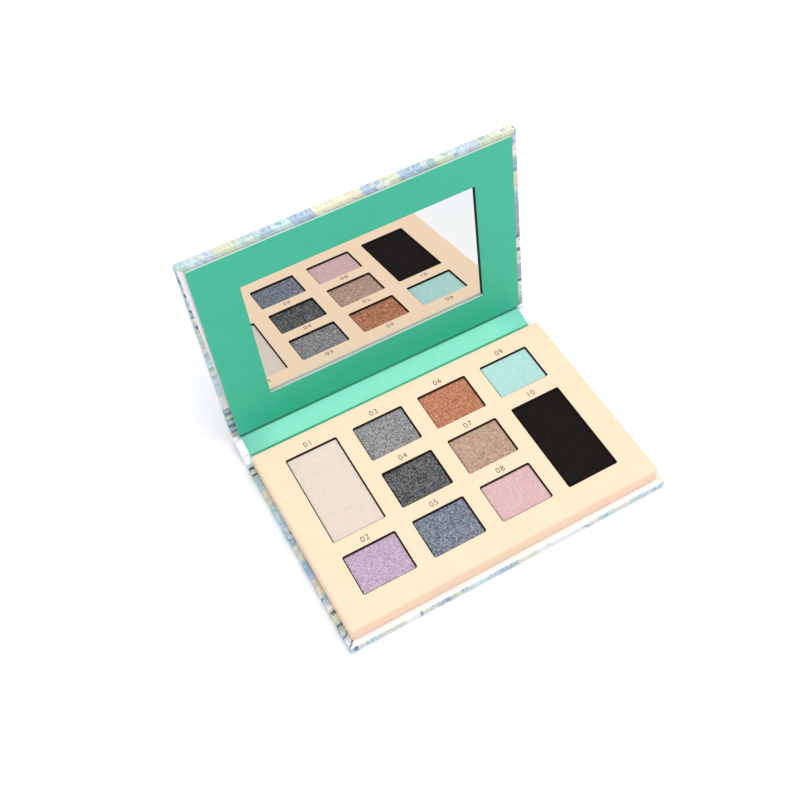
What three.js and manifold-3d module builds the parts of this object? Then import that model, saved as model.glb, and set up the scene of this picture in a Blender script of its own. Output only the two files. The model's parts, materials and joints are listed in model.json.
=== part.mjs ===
// Book-style eyeshadow palette: a board base with a tray of ten pressed-powder pans, a narrow
// spine and a lid with a framed mirror, joined by two paper hinges. Millimetres, +Z up, +X along
// the hinges, +Y to the hinge side. The origin is on the underside of the base, below the
// middle of the tray.
import * as THREE from 'three';
import { mergeVertices } from 'three/addons/utils/BufferGeometryUtils.js';
import Module from 'manifold-3d';

const wasm = await Module();
wasm.setup();

// Covers: the paper-wrapped boards of base and lid
const CASE_WIDTH = 154;      // along the hinges
const BASE_DEPTH = 100;      // hinge-side board edge to free edge
const LID_DEPTH = 99;
const COVER_THICKNESS = 3.7; // board with its paper
const PAPER = 0.25;          // printed wrap
const LINER = 0.2;           // green hinge liner, and the adhesive sheets
const GLUE = 0.05;           // glue line between two layers
const TURN_IN = 12;          // wrap folded over onto the inner face
const CASE_CORNER = 0.8;     // plan radius at the free corners

// Hinges: each axis runs in the middle of the gap between two boards
const HALF_GAP = 2.2;        // board edge to hinge axis
const AXIS_SPACING = 13.55;  // spine hinge to lid hinge, which sets the closed height
const HINGE_SLIT = 0.3;      // edge of a wrap's outer sheet to the hinge axis
const SPINE_ANGLE = 16;      // degrees above the horizontal, as posed
const LID_ANGLE = 81.4;      // degrees above the horizontal, as posed

// Tray
const TRAY_WIDTH = 149;
const TRAY_DEPTH = 95;
const TRAY_OFFSET = 4.2;     // spine hinge axis to the tray
const TRAY_TOP = 12;         // above the underside of the base
const TRAY_CORNER = 1.4;
const TRAY_CARD = 0.8;       // thickness of the tray cover
const TRAY_FIT = 0.1;        // tray cover to tray core

// Pan windows in the tray cover, in four columns and three rows
const WINDOW_WIDTH = 25;
const WINDOW_DEPTH = 19.5;
const COLUMN_PITCH = 33;
const ROW_PITCH = 27;
const LEFT_MARGIN = 12;      // tray edge to the left column
const BACK_MARGIN = 9.8;     // tray edge to the back row
const WINDOW_CORNER = 0.8;

// Pans and powders
const PAN_GAP = 0.35;        // window edge to pan
const WELL_GAP = 0.15;       // pan to the wall of its well
const PAN_WALL = 0.3;
const PAN_HEIGHT = 4.2;
const PAN_DROP = 0.75;       // pan rim below the tray top
const POWDER_DROP = 0.15;    // powder below the pan rim
const DOT_RADIUS = 5;        // adhesive under a pan
const DOT_THICKNESS = 0.3;

// Lid lining: a card frame over the mirror
const CARD_WIDTH = 148;
const CARD_DEPTH = 96;
const CARD_THICKNESS = 0.95;
const CARD_OFFSET = 0.5;     // hinge-side board edge to card edge
const MIRROR_WINDOW_WIDTH = 109.5;
const MIRROR_WINDOW_DEPTH = 62;
const MIRROR_WINDOW_OFFSET = 16.8; // hinge-side card edge to the window
const MIRROR_OVERLAP = 3;    // mirror held under the card
const MIRROR_THICKNESS = 1.2;
const MIRROR_FIT = 0.25;
const LINER_WIDTH = 147;
const LINER_TAB = 12;        // liner held under the tray and under the card
const SHEET_INSET = 4;       // edge of an adhesive sheet to the edge of what it holds
const SHEET_GAP = 1;         // adhesive sheet to the liner or the mirror window

// Closure magnets, hidden in the lid and in the tray
const MAGNET_RADIUS = 4;
const MAGNET_HEIGHT = 2;
const MAGNET_SPACING = 100;
const MAGNET_MARGIN = 6;     // magnet centre to the front edge of the tray

// Levels above the mid-plane of a cover
const HALF_COVER = COVER_THICKNESS / 2;
const BOARD_FACE = HALF_COVER - PAPER - GLUE;
const LINER_BOTTOM = HALF_COVER + GLUE;
const LINER_TOP = LINER_BOTTOM + LINER;
const CARD_BOTTOM = LINER_TOP + GLUE;
const MIRROR_BACK = HALF_COVER - MIRROR_THICKNESS;
const MIRROR_SEAT = MIRROR_BACK - LINER - GLUE;

// Distances from the hinge axis, along a cover
const CARD_START = HALF_GAP + CARD_OFFSET;
const MIRROR_START = CARD_START + MIRROR_WINDOW_OFFSET;
const MIRROR_END = MIRROR_START + MIRROR_WINDOW_DEPTH;

const HINGE_Y = TRAY_DEPTH / 2 + TRAY_OFFSET;
const MAGNET_Y = MAGNET_MARGIN - TRAY_DEPTH / 2;
const MAGNET_TOP = TRAY_TOP - TRAY_CARD - GLUE;
const SIDES = [{ name: 'left', sign: -1 }, { name: 'right', sign: 1 }];

const radians = (degrees) => degrees * Math.PI / 180;
const paint = (color, roughness, metalness = 0) =>
  new THREE.MeshStandardMaterial({ color, roughness, metalness });

const printedPaper = paint(0xb9d3d8, 0.45);
const greyBoard = paint(0x9a958c, 0.9);
const greenPaper = paint(0x4dbd9d, 0.55);
const creamPaper = paint(0xfee5c7, 0.6);
const blackFoam = paint(0x2c2a28, 0.95);
const adhesive = paint(0xe8e4d8, 0.5);
const tinplate = paint(0xb8babc, 0.35, 1);
const mirrorGlass = paint(0xe6ecee, 0.03, 1);
const nickel = paint(0x8c8e92, 0.3, 1);

const SHADES = [
  { name: 'white', column: 0, row: 0, rows: 2, color: 0xefe5dd, roughness: 0.45 },
  { name: 'violet', column: 0, row: 2, rows: 1, color: 0xc7b3cf, roughness: 0.5 },
  { name: 'smoky_grey', column: 1, row: 0, rows: 1, color: 0x96979e, roughness: 0.5 },
  { name: 'dark_grey', column: 1, row: 1, rows: 1, color: 0x55575c, roughness: 0.5 },
  { name: 'light_grey', column: 1, row: 2, rows: 1, color: 0x828a9b, roughness: 0.5 },
  { name: 'light_brown', column: 2, row: 0, rows: 1, color: 0xc97e5b, roughness: 0.5 },
  { name: 'light_coffee', column: 2, row: 1, rows: 1, color: 0xcca594, roughness: 0.5 },
  { name: 'light_pink', column: 2, row: 2, rows: 1, color: 0xeec3cb, roughness: 0.5 },
  { name: 'light_blue', column: 3, row: 0, rows: 1, color: 0xb4e8e8, roughness: 0.5 },
  { name: 'black', column: 3, row: 1, rows: 2, color: 0x28211f, roughness: 0.85 },
];

// ---- Shapes -------------------------------------------------------------------------------

// Rectangle with round corners, from its lowest corner to its highest
function roundRectangle(x0, y0, x1, y1, radius) {
  const shape = new THREE.Shape();
  shape.absarc(x1 - radius, y0 + radius, radius, -Math.PI / 2, 0);
  shape.absarc(x1 - radius, y1 - radius, radius, 0, Math.PI / 2);
  shape.absarc(x0 + radius, y1 - radius, radius, Math.PI / 2, Math.PI);
  shape.absarc(x0 + radius, y0 + radius, radius, Math.PI, Math.PI * 1.5);
  return shape;
}

// Outline of a cover: square at the hinge, round at the two free corners
function coverOutline(halfWidth, y0, y1, radius) {
  const shape = new THREE.Shape();
  shape.moveTo(-halfWidth, y0);
  shape.lineTo(halfWidth, y0);
  shape.absarc(halfWidth - radius, y1 - radius, radius, 0, Math.PI / 2);
  shape.absarc(radius - halfWidth, y1 - radius, radius, Math.PI / 2, Math.PI);
  return shape;
}

function slab(shape, bottom, top) {
  const geometry = new THREE.ExtrudeGeometry(shape, {
    depth: top - bottom, bevelEnabled: false, curveSegments: 2,
  });
  return geometry.translate(0, 0, bottom);
}

function block(x0, x1, y0, y1, z0, z1) {
  const geometry = new THREE.BoxGeometry(x1 - x0, y1 - y0, z1 - z0);
  return geometry.translate((x0 + x1) / 2, (y0 + y1) / 2, (z0 + z1) / 2);
}

// Block centred on the YZ plane
function strip(width, y0, y1, z0, z1) {
  return block(-width / 2, width / 2, y0, y1, z0, z1);
}

function disc(radius, x, y, bottom, top) {
  const geometry = new THREE.CylinderGeometry(radius, radius, top - bottom, 24);
  return geometry.rotateX(Math.PI / 2).translate(x, y, (bottom + top) / 2);
}

function toSolid(geometry) {
  geometry.deleteAttribute('normal');
  geometry.deleteAttribute('uv');
  const welded = mergeVertices(geometry, 1e-5);
  return new wasm.Manifold(new wasm.Mesh({
    numProp: 3,
    vertProperties: new Float32Array(welded.attributes.position.array),
    triVerts: new Uint32Array(welded.index.array),
  }));
}

function fromSolid(solid) {
  const mesh = solid.getMesh();
  const geometry = new THREE.BufferGeometry();
  geometry.setAttribute('position', new THREE.BufferAttribute(mesh.vertProperties, 3));
  geometry.setIndex(new THREE.BufferAttribute(mesh.triVerts, 1));
  geometry.computeVertexNormals();
  return geometry;
}

function cut(body, ...tools) {
  return fromSolid(tools.reduce((solid, tool) => solid.subtract(toSolid(tool)), toSolid(body)));
}

function place(parent, name, geometry, material) {
  const mesh = new THREE.Mesh(geometry, material);
  mesh.name = name;
  parent.add(mesh);
}

// ---- Covers -------------------------------------------------------------------------------
// A cover is built in its own frame: +Y runs from the hinge axis over the board, z = 0 is the
// mid-plane of the board, and the inner face looks up.

// One piece of printed paper: outer sheet, three edges and their turn-ins. At the hinge the
// outer sheet runs on past the board, to the slit.
function coverWrap(depth) {
  const half = CASE_WIDTH / 2;
  const end = HALF_GAP + depth;
  const envelope = toSolid(slab(coverOutline(half, HALF_GAP, end, CASE_CORNER),
    -HALF_COVER, HALF_COVER));
  const hollow = toSolid(slab(
    coverOutline(half - PAPER, 0, end - PAPER, CASE_CORNER - PAPER),
    PAPER - HALF_COVER, HALF_COVER - PAPER));
  const opening = toSolid(strip(CASE_WIDTH - 2 * TURN_IN, 0, end - TURN_IN, 0,
    2 * HALF_COVER));
  const hingeSheet = toSolid(strip(CASE_WIDTH, HINGE_SLIT, 2 * HALF_GAP, -HALF_COVER,
    PAPER - HALF_COVER));
  return fromSolid(envelope.subtract(hollow).subtract(opening).add(hingeSheet));
}

function coverBoard(depth, bottom, top) {
  const half = CASE_WIDTH / 2 - PAPER - GLUE;
  const end = HALF_GAP + depth - PAPER - GLUE;
  return slab(coverOutline(half, HALF_GAP, end, CASE_CORNER - PAPER), bottom, top);
}

// ---- Base ---------------------------------------------------------------------------------

// Window of one shade, as its lowest and highest corners, grown by a margin
function windowOf(shade, grow = 0) {
  const x0 = LEFT_MARGIN - TRAY_WIDTH / 2 + shade.column * COLUMN_PITCH;
  const y1 = TRAY_DEPTH / 2 - BACK_MARGIN - shade.row * ROW_PITCH;
  const y0 = y1 - WINDOW_DEPTH - (shade.rows - 1) * ROW_PITCH;
  return [x0 - grow, y0 - grow, x0 + WINDOW_WIDTH + grow, y1 + grow];
}

// Cream paper-laminated card: a top sheet with ten windows and four side walls, open below
function trayCover(bottom) {
  const x = TRAY_WIDTH / 2;
  const y = TRAY_DEPTH / 2;
  const shell = slab(roundRectangle(-x, -y, x, y, TRAY_CORNER), bottom, TRAY_TOP);
  const hollow = slab(roundRectangle(TRAY_CARD - x, TRAY_CARD - y, x - TRAY_CARD,
    y - TRAY_CARD, TRAY_CORNER - TRAY_CARD), 0, TRAY_TOP - TRAY_CARD);
  const windows = SHADES.map((shade) => slab(
    roundRectangle(...windowOf(shade), WINDOW_CORNER), TRAY_TOP - 2 * TRAY_CARD, 2 * TRAY_TOP));
  return cut(shell, hollow, ...windows);
}

// Foam core under the cover, with a blind well for each pan and a pocket for each magnet
function trayCore(bottom) {
  const x = TRAY_WIDTH / 2 - TRAY_CARD - TRAY_FIT;
  const y = TRAY_DEPTH / 2 - TRAY_CARD - TRAY_FIT;
  const top = TRAY_TOP - TRAY_CARD - GLUE;
  const wellFloor = TRAY_TOP - PAN_DROP - PAN_HEIGHT - DOT_THICKNESS - GLUE;
  const wells = SHADES.map((shade) => slab(
    roundRectangle(...windowOf(shade, WELL_GAP - PAN_GAP), WINDOW_CORNER),
    wellFloor, 2 * TRAY_TOP));
  const pockets = SIDES.map(({ sign }) => disc(MAGNET_RADIUS + TRAY_FIT,
    sign * MAGNET_SPACING / 2, MAGNET_Y, MAGNET_TOP - MAGNET_HEIGHT - GLUE, 2 * TRAY_TOP));
  return cut(slab(roundRectangle(-x, -y, x, y, TRAY_CORNER / 2), bottom, top),
    ...wells, ...pockets);
}

// Pressed tinplate pan, open at the top
function pan([x0, y0, x1, y1], bottom, top) {
  return cut(slab(roundRectangle(x0, y0, x1, y1, WINDOW_CORNER), bottom, top),
    slab(roundRectangle(x0 + PAN_WALL, y0 + PAN_WALL, x1 - PAN_WALL, y1 - PAN_WALL,
      WINDOW_CORNER - PAN_WALL), bottom + PAN_WALL, 2 * top));
}

// Pan, pressed powder and adhesive of one shade
function placeShade(base, shade) {
  const rim = TRAY_TOP - PAN_DROP;
  const foot = rim - PAN_HEIGHT;
  const inset = PAN_GAP + PAN_WALL + GLUE;
  const [x0, y0, x1, y1] = windowOf(shade);
  const middleX = (x0 + x1) / 2;
  const middleY = (y0 + y1) / 2;
  const stretch = (shade.rows - 1) * ROW_PITCH / 2;
  place(base, `pan_${shade.name}`, pan(windowOf(shade, -PAN_GAP), foot, rim), tinplate);
  place(base, `powder_${shade.name}`,
    slab(roundRectangle(...windowOf(shade, -inset), WINDOW_CORNER / 2),
      foot + PAN_WALL + GLUE, rim - POWDER_DROP),
    paint(shade.color, shade.roughness));
  place(base, `pan_adhesive_${shade.name}`,
    slab(roundRectangle(middleX - DOT_RADIUS, middleY - DOT_RADIUS - stretch,
      middleX + DOT_RADIUS, middleY + DOT_RADIUS + stretch, DOT_RADIUS - GLUE),
    foot - DOT_THICKNESS, foot - GLUE), adhesive);
}

function makeBase() {
  const base = new THREE.Group();
  const cover = new THREE.Group();
  cover.position.set(0, HINGE_Y, HALF_COVER);
  cover.rotation.z = Math.PI;
  base.add(cover);

  const tabEnd = TRAY_OFFSET + LINER_TAB;
  place(cover, 'base_wrap', coverWrap(BASE_DEPTH), printedPaper);
  place(cover, 'base_board', coverBoard(BASE_DEPTH, -BOARD_FACE, BOARD_FACE), greyBoard);
  place(cover, 'base_liner_tab',
    strip(LINER_WIDTH, HALF_GAP, tabEnd, LINER_BOTTOM, LINER_TOP), greenPaper);
  place(cover, 'tray_adhesive_sheet',
    strip(TRAY_WIDTH - 2 * SHEET_INSET, tabEnd + SHEET_GAP,
      TRAY_OFFSET + TRAY_DEPTH - SHEET_INSET, LINER_BOTTOM, LINER_TOP), adhesive);

  const trayBottom = HALF_COVER + CARD_BOTTOM;
  place(base, 'tray_cover', trayCover(trayBottom), creamPaper);
  place(base, 'tray_core', trayCore(trayBottom), blackFoam);
  for (const shade of SHADES) placeShade(base, shade);
  for (const { name, sign } of SIDES) {
    place(base, `tray_magnet_${name}`,
      disc(MAGNET_RADIUS, sign * MAGNET_SPACING / 2, MAGNET_Y, MAGNET_TOP - MAGNET_HEIGHT,
        MAGNET_TOP), nickel);
  }
  return base;
}

// ---- Spine --------------------------------------------------------------------------------

// A narrow cover between the two hinges: its outer sheet reaches to both slits, and its ends
// are wrapped and turned in
function spineWrap(start, end) {
  const envelope = toSolid(strip(CASE_WIDTH, start, end, -HALF_COVER, HALF_COVER));
  const hollow = toSolid(strip(CASE_WIDTH - 2 * PAPER, 0, AXIS_SPACING,
    PAPER - HALF_COVER, HALF_COVER - PAPER));
  const opening = toSolid(strip(CASE_WIDTH - 2 * TURN_IN, 0, AXIS_SPACING, 0,
    2 * HALF_COVER));
  const hingeSheet = toSolid(strip(CASE_WIDTH, HINGE_SLIT, AXIS_SPACING - HINGE_SLIT,
    -HALF_COVER, PAPER - HALF_COVER));
  return fromSolid(envelope.subtract(hollow).subtract(opening).add(hingeSheet));
}

function makeSpine() {
  const spine = new THREE.Group();
  const start = HALF_GAP;
  const end = AXIS_SPACING - HALF_GAP;
  place(spine, 'spine_wrap', spineWrap(start, end), printedPaper);
  place(spine, 'spine_board',
    strip(CASE_WIDTH - 2 * (PAPER + GLUE), start, end, -BOARD_FACE, BOARD_FACE), greyBoard);
  place(spine, 'spine_liner', strip(LINER_WIDTH, start, end, LINER_BOTTOM, LINER_TOP),
    greenPaper);
  return spine;
}

// ---- Lid ----------------------------------------------------------------------------------

// Second board layer, cut out for the mirror and the magnets
function mirrorBoard(magnetY) {
  const pocketWidth = MIRROR_WINDOW_WIDTH + 2 * (MIRROR_OVERLAP + MIRROR_FIT);
  const pocket = strip(pocketWidth, MIRROR_START - MIRROR_OVERLAP - MIRROR_FIT,
    MIRROR_END + MIRROR_OVERLAP + MIRROR_FIT, 0, 2 * HALF_COVER);
  const holes = SIDES.map(({ sign }) => disc(MAGNET_RADIUS + TRAY_FIT,
    sign * MAGNET_SPACING / 2, magnetY, 0, 2 * HALF_COVER));
  return cut(coverBoard(LID_DEPTH, MIRROR_SEAT, BOARD_FACE), pocket, ...holes);
}

function frame(width, y0, y1, gap, bottom, top) {
  return cut(strip(width, y0, y1, bottom, top),
    strip(MIRROR_WINDOW_WIDTH + 2 * gap, MIRROR_START - gap, MIRROR_END + gap,
      0, 2 * top));
}

function makeLid() {
  const lid = new THREE.Group();
  const magnetY = HINGE_Y - MAGNET_Y;
  const tabEnd = CARD_START + LINER_TAB;
  const mirrorWidth = MIRROR_WINDOW_WIDTH + 2 * MIRROR_OVERLAP;
  const mirrorY0 = MIRROR_START - MIRROR_OVERLAP;
  const mirrorY1 = MIRROR_END + MIRROR_OVERLAP;

  place(lid, 'lid_wrap', coverWrap(LID_DEPTH), printedPaper);
  place(lid, 'lid_board', coverBoard(LID_DEPTH, -BOARD_FACE, MIRROR_SEAT - GLUE), greyBoard);
  place(lid, 'lid_mirror_board', mirrorBoard(magnetY), greyBoard);
  for (const { name, sign } of SIDES) {
    place(lid, `lid_magnet_${name}`,
      disc(MAGNET_RADIUS, sign * MAGNET_SPACING / 2, magnetY, MIRROR_SEAT, BOARD_FACE), nickel);
  }
  place(lid, 'mirror_adhesive_sheet',
    strip(mirrorWidth - 2 * SHEET_INSET, mirrorY0 + SHEET_INSET, mirrorY1 - SHEET_INSET,
      MIRROR_SEAT, MIRROR_SEAT + LINER), adhesive);
  place(lid, 'mirror', strip(mirrorWidth, mirrorY0, mirrorY1, MIRROR_BACK, HALF_COVER),
    mirrorGlass);
  place(lid, 'lid_liner_tab', strip(LINER_WIDTH, HALF_GAP, tabEnd, LINER_BOTTOM, LINER_TOP),
    greenPaper);
  place(lid, 'card_adhesive_sheet',
    frame(CARD_WIDTH - 2 * SHEET_INSET, tabEnd + SHEET_GAP,
      CARD_START + CARD_DEPTH - SHEET_INSET, SHEET_GAP, LINER_BOTTOM, LINER_TOP), adhesive);
  place(lid, 'lid_card', frame(CARD_WIDTH, CARD_START, CARD_START + CARD_DEPTH, 0,
    CARD_BOTTOM, CARD_BOTTOM + CARD_THICKNESS), greenPaper);
  return lid;
}

// ---- Assembly -----------------------------------------------------------------------------

const palette = new THREE.Group();
palette.add(makeBase());

const spineAngle = radians(SPINE_ANGLE);
const spine = makeSpine();
spine.position.set(0, HINGE_Y, HALF_COVER);
spine.rotation.x = spineAngle;
palette.add(spine);

const lid = makeLid();
lid.position.set(0, HINGE_Y + AXIS_SPACING * Math.cos(spineAngle),
  HALF_COVER + AXIS_SPACING * Math.sin(spineAngle));
lid.rotation.x = radians(LID_ANGLE);
palette.add(lid);

export default palette;
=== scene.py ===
"""Looks of the book-style eyeshadow palette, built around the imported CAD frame.

Lengths are in millimetres and angles in radians until a mesh, light or camera is made. Base,
spine and lid are covers: a cover's own frame has +Y from its hinge axis over the board, z = 0
in the mid-plane of the board and the inner face up.
"""
import json
import math

import bpy
from mathutils import Matrix, Vector, noise
from mathutils.geometry import delaunay_2d_cdt


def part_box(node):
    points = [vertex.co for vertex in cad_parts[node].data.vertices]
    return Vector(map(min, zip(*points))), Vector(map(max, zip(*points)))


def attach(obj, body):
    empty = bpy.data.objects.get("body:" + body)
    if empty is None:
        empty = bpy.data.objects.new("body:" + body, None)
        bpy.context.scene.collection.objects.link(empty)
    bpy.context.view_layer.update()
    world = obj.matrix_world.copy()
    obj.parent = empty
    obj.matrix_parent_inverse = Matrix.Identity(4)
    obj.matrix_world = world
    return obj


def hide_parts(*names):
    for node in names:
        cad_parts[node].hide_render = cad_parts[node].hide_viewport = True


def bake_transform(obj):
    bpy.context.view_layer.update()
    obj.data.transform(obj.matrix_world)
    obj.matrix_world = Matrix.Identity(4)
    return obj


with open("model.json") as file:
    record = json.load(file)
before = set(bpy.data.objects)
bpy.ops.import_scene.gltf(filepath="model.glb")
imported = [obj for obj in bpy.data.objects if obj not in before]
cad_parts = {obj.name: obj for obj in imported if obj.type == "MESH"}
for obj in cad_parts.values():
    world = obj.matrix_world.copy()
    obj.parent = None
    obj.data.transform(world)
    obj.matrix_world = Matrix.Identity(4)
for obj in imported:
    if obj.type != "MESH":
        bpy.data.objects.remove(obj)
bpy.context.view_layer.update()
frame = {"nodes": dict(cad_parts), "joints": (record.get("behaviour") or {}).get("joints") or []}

METRE = 1000.0

# Covers
CASE_WIDTH = 154.0
BASE_DEPTH = 100.0
LID_DEPTH = 99.0
HALF_COVER = 1.85            # half the thickness of a board with its paper
PAPER = 0.25
TURN_IN = 12.0
CASE_CORNER = 0.8            # plan radius at the free corners
ARRIS = 0.45                 # radius of paper folded over a board edge
HALF_GAP = 2.2               # board edge to hinge axis
SPINE_END = 11.35            # far edge of the spine board from the spine hinge
LID_ANGLE = math.radians(81.4)
BASE_END = HALF_GAP + BASE_DEPTH
LID_END = HALF_GAP + LID_DEPTH

# Liner
LINER_HALF = 73.5
LINER = 0.2
LINER_TOP = 2.1
LINER_FOLD = 0.35            # radius where the liner dips into a hinge
PAPER_FACE = PAPER - HALF_COVER   # inside of the outer sheet in a hinge
LINER_DIP = 0.5              # level of the liner across a hinge
LINER_CLEAR = 0.05           # liner to the board edge that it passes
BASE_LINER_END = 15.5        # end under the tray, from the spine hinge
LID_LINER_END = 14.2         # end under the card, from the lid hinge
HINGE_ROWS = 14

# Tray
TRAY_TOP = 12.0
TRAY_CORNER = 1.0
TRAY_CARD = 0.8
TRAY_ARRIS = 1.0
WINDOW_CORNER = 0.9
WINDOW_ARRIS = 0.14

# Lid lining
CARD_ARRIS = 0.12
MIRROR_PLANE = 1.85          # silver of the glass
MIRROR_BACK = 0.65
MIRROR_HALF = 57.75
MIRROR_START = 16.5
MIRROR_END = 84.5

NUMERAL_SIZE = 3.9
NUMERAL_GAP = 2.9            # window edge to the middle of its numeral
NUMERAL_SPACING = 1.15
NUMERAL_RAISE = 0.004        # thickness of the ink each way
NUMERAL_LIFT = 0.006         # its middle above the card

joints = {joint["name"]: joint for joint in frame["joints"]}
spine_axis = Vector(joints["spine_hinge"]["pos_m"]) * METRE
lid_axis = Vector(joints["lid_hinge"]["pos_m"]) * METRE
SPINE_LENGTH = (lid_axis - spine_axis).length
SPINE_ANGLE = math.atan2(lid_axis.z - spine_axis.z, lid_axis.y - spine_axis.y)

WORLD = Matrix.Identity(4)
BASE = Matrix.Translation(spine_axis) @ Matrix.Rotation(math.pi, 4, "Z")
SPINE = Matrix.Translation(spine_axis) @ Matrix.Rotation(SPINE_ANGLE, 4, "X")
LID = Matrix.Translation(lid_axis) @ Matrix.Rotation(LID_ANGLE, 4, "X")

SHADES = ("white", "violet", "smoky_grey", "dark_grey", "light_grey", "light_brown",
          "light_coffee", "light_pink", "light_blue", "black")


# ---- Materials ----------------------------------------------------------------------------

def rgb(code):
    """Linear colour from an sRGB code such as 'fee5c7'."""
    values = [int(code[i:i + 2], 16) / 255 for i in (0, 2, 4)]
    return tuple(v / 12.92 if v <= 0.04045 else ((v + 0.055) / 1.055) ** 2.4
                 for v in values) + (1.0,)


class Surface:
    """A Principled material and short ways to add nodes to it."""

    def __init__(self, name, **sockets):
        self.material = bpy.data.materials.new(name)
        self.material.use_nodes = True
        self.tree = self.material.node_tree
        self.shader = next(n for n in self.tree.nodes if n.type == "BSDF_PRINCIPLED")
        for socket, value in sockets.items():
            self.shader.inputs[socket.replace("_", " ")].default_value = value

    def node(self, kind, inputs, **settings):
        node = self.tree.nodes.new("ShaderNode" + kind)
        for key, value in settings.items():
            setattr(node, key, value)
        for key, value in inputs.items():
            self.set(node.inputs[key], value)
        return node

    def set(self, socket, value):
        if isinstance(value, bpy.types.NodeSocket):
            self.tree.links.new(value, socket)
        else:
            socket.default_value = value

    def to(self, socket, value):
        self.set(self.shader.inputs[socket], value)

    def math(self, operation, a, b=0.0, clamp=False):
        return self.node("Math", {0: a, 1: b}, operation=operation, use_clamp=clamp).outputs[0]

    def mix(self, factor, a, b, blend="MIX"):
        node = self.node("Mix", {0: factor, 6: a, 7: b}, data_type="RGBA", blend_type=blend)
        return node.outputs[2]

    def ramp(self, factor, stops, interpolation="LINEAR"):
        node = self.node("ValToRGB", {0: factor})
        ramp = node.color_ramp
        ramp.interpolation = interpolation
        ramp.elements.remove(ramp.elements[1])
        for i, (position, color) in enumerate(stops):
            element = ramp.elements[0] if i == 0 else ramp.elements.new(position)
            element.position = position
            element.color = color
        return node.outputs[0]

    def grey(self, factor, low, high):
        """Value that runs from low to high as factor runs from 0 to 1."""
        return self.node("MapRange", {0: factor, 3: low, 4: high}).outputs[0]

    def place(self, scale=(1, 1, 1)):
        """Object coordinates in millimetres, scaled."""
        coordinates = self.node("TexCoord", {}).outputs["Object"]
        return self.node("Mapping", {"Vector": coordinates,
                                     "Scale": [METRE * s for s in scale]}).outputs[0]

    def noise(self, vector, size, detail=2.0, roughness=0.5):
        """Noise with features about size millimetres across."""
        return self.node("TexNoise", {"Vector": vector, "Scale": 1 / size, "Detail": detail,
                                      "Roughness": roughness}).outputs[0]

    def bump(self, height, depth):
        """Bump of that depth in millimetres."""
        node = self.node("Bump", {"Height": height, "Strength": 1.0, "Distance": depth / METRE})
        self.to("Normal", node.outputs[0])
        return node.outputs[0]


PAPER_FIBRE = 0.25


def paper(name, color, mottle, roughness, tooth=0.006):
    """Printed or dyed paper: soft mottling, fine fibres and a slight tooth."""
    s = Surface(name, Roughness=roughness, Coat_Weight=0.0, Coat_Roughness=0.25)
    place = s.place()
    cloud = s.noise(place, 14, 3)
    fibres = s.noise(s.place((1.0, 3.2, 1.6)), PAPER_FIBRE * 2.2, 3, 0.65)
    base = s.mix(cloud, rgb(color), rgb(mottle))
    s.to("Base Color", s.mix(s.grey(fibres, 0.0, 0.12), base, rgb(mottle), "MULTIPLY"))
    s.to("Roughness", s.grey(fibres, roughness - 0.06, roughness + 0.06))
    s.bump(s.noise(place, PAPER_FIBRE, 4, 0.6), tooth)
    return s.material


def board(name, light, dark, layer=0.3):
    """Raw board or a cut card edge: pressed fibres in thin layers."""
    s = Surface(name, Roughness=0.85)
    fibres = s.noise(s.place((1, 1, 2.5)), layer, 4, 0.7)
    flecks = s.noise(s.place(), 1.6, 2)
    base = s.mix(fibres, rgb(dark), rgb(light))
    s.to("Base Color", s.mix(s.grey(flecks, 0.0, 0.25), base, rgb(dark)))
    s.bump(fibres, 0.03)
    return s.material


def metal(name, color, roughness, grain=0.4):
    s = Surface(name, Metallic=1.0, Roughness=roughness)
    rolled = s.noise(s.place((0.25, 2.0, 2.0)), grain, 3)
    s.to("Base Color", s.mix(s.grey(rolled, 0.0, 0.4), rgb(color), rgb("202022")))
    s.to("Roughness", s.grey(rolled, roughness - 0.08, roughness + 0.1))
    s.bump(rolled, 0.004)
    return s.material


def film(name, color):
    """Adhesive film or tape."""
    s = Surface(name, Roughness=0.45)
    ripple = s.noise(s.place(), 3.0, 3)
    s.to("Base Color", s.mix(s.grey(ripple, 0.0, 0.5), rgb(color), rgb("cfc8b4")))
    s.to("Roughness", s.grey(ripple, 0.35, 0.6))
    s.bump(ripple, 0.02)
    return s.material


def foam(name, color, dark):
    s = Surface(name, Roughness=0.92)
    cells = s.node("TexVoronoi", {"Vector": s.place(), "Scale": 1 / 0.35}).outputs["Distance"]
    s.to("Base Color", s.mix(cells, rgb(dark), rgb(color)))
    s.bump(cells, 0.05)
    return s.material


def mirror_silver(name):
    s = Surface(name, Metallic=1.0, Roughness=0.02)
    haze = s.noise(s.place(), 30, 2)
    s.to("Base Color", s.mix(haze, rgb("e6e8e7"), rgb("e2e4e4")))
    s.to("Roughness", s.grey(haze, 0.004, 0.012))
    return s.material


def ink(name, color):
    s = Surface(name, Roughness=0.5)
    grain = s.noise(s.place(), 0.2, 3)
    s.to("Base Color", s.mix(s.grey(grain, 0.0, 0.4), rgb(color), rgb("8a8178")))
    s.bump(grain, 0.004)
    return s.material


POWDER_FILTER = (1.0, 0.94, 0.88)    # the cool light makes the powders bluer than they are


def tinted(code, shade):
    color = rgb(code)
    if shade is None:
        return color
    return tuple(v * shade * f for v, f in zip(color, POWDER_FILTER)) + (1.0,)


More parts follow.
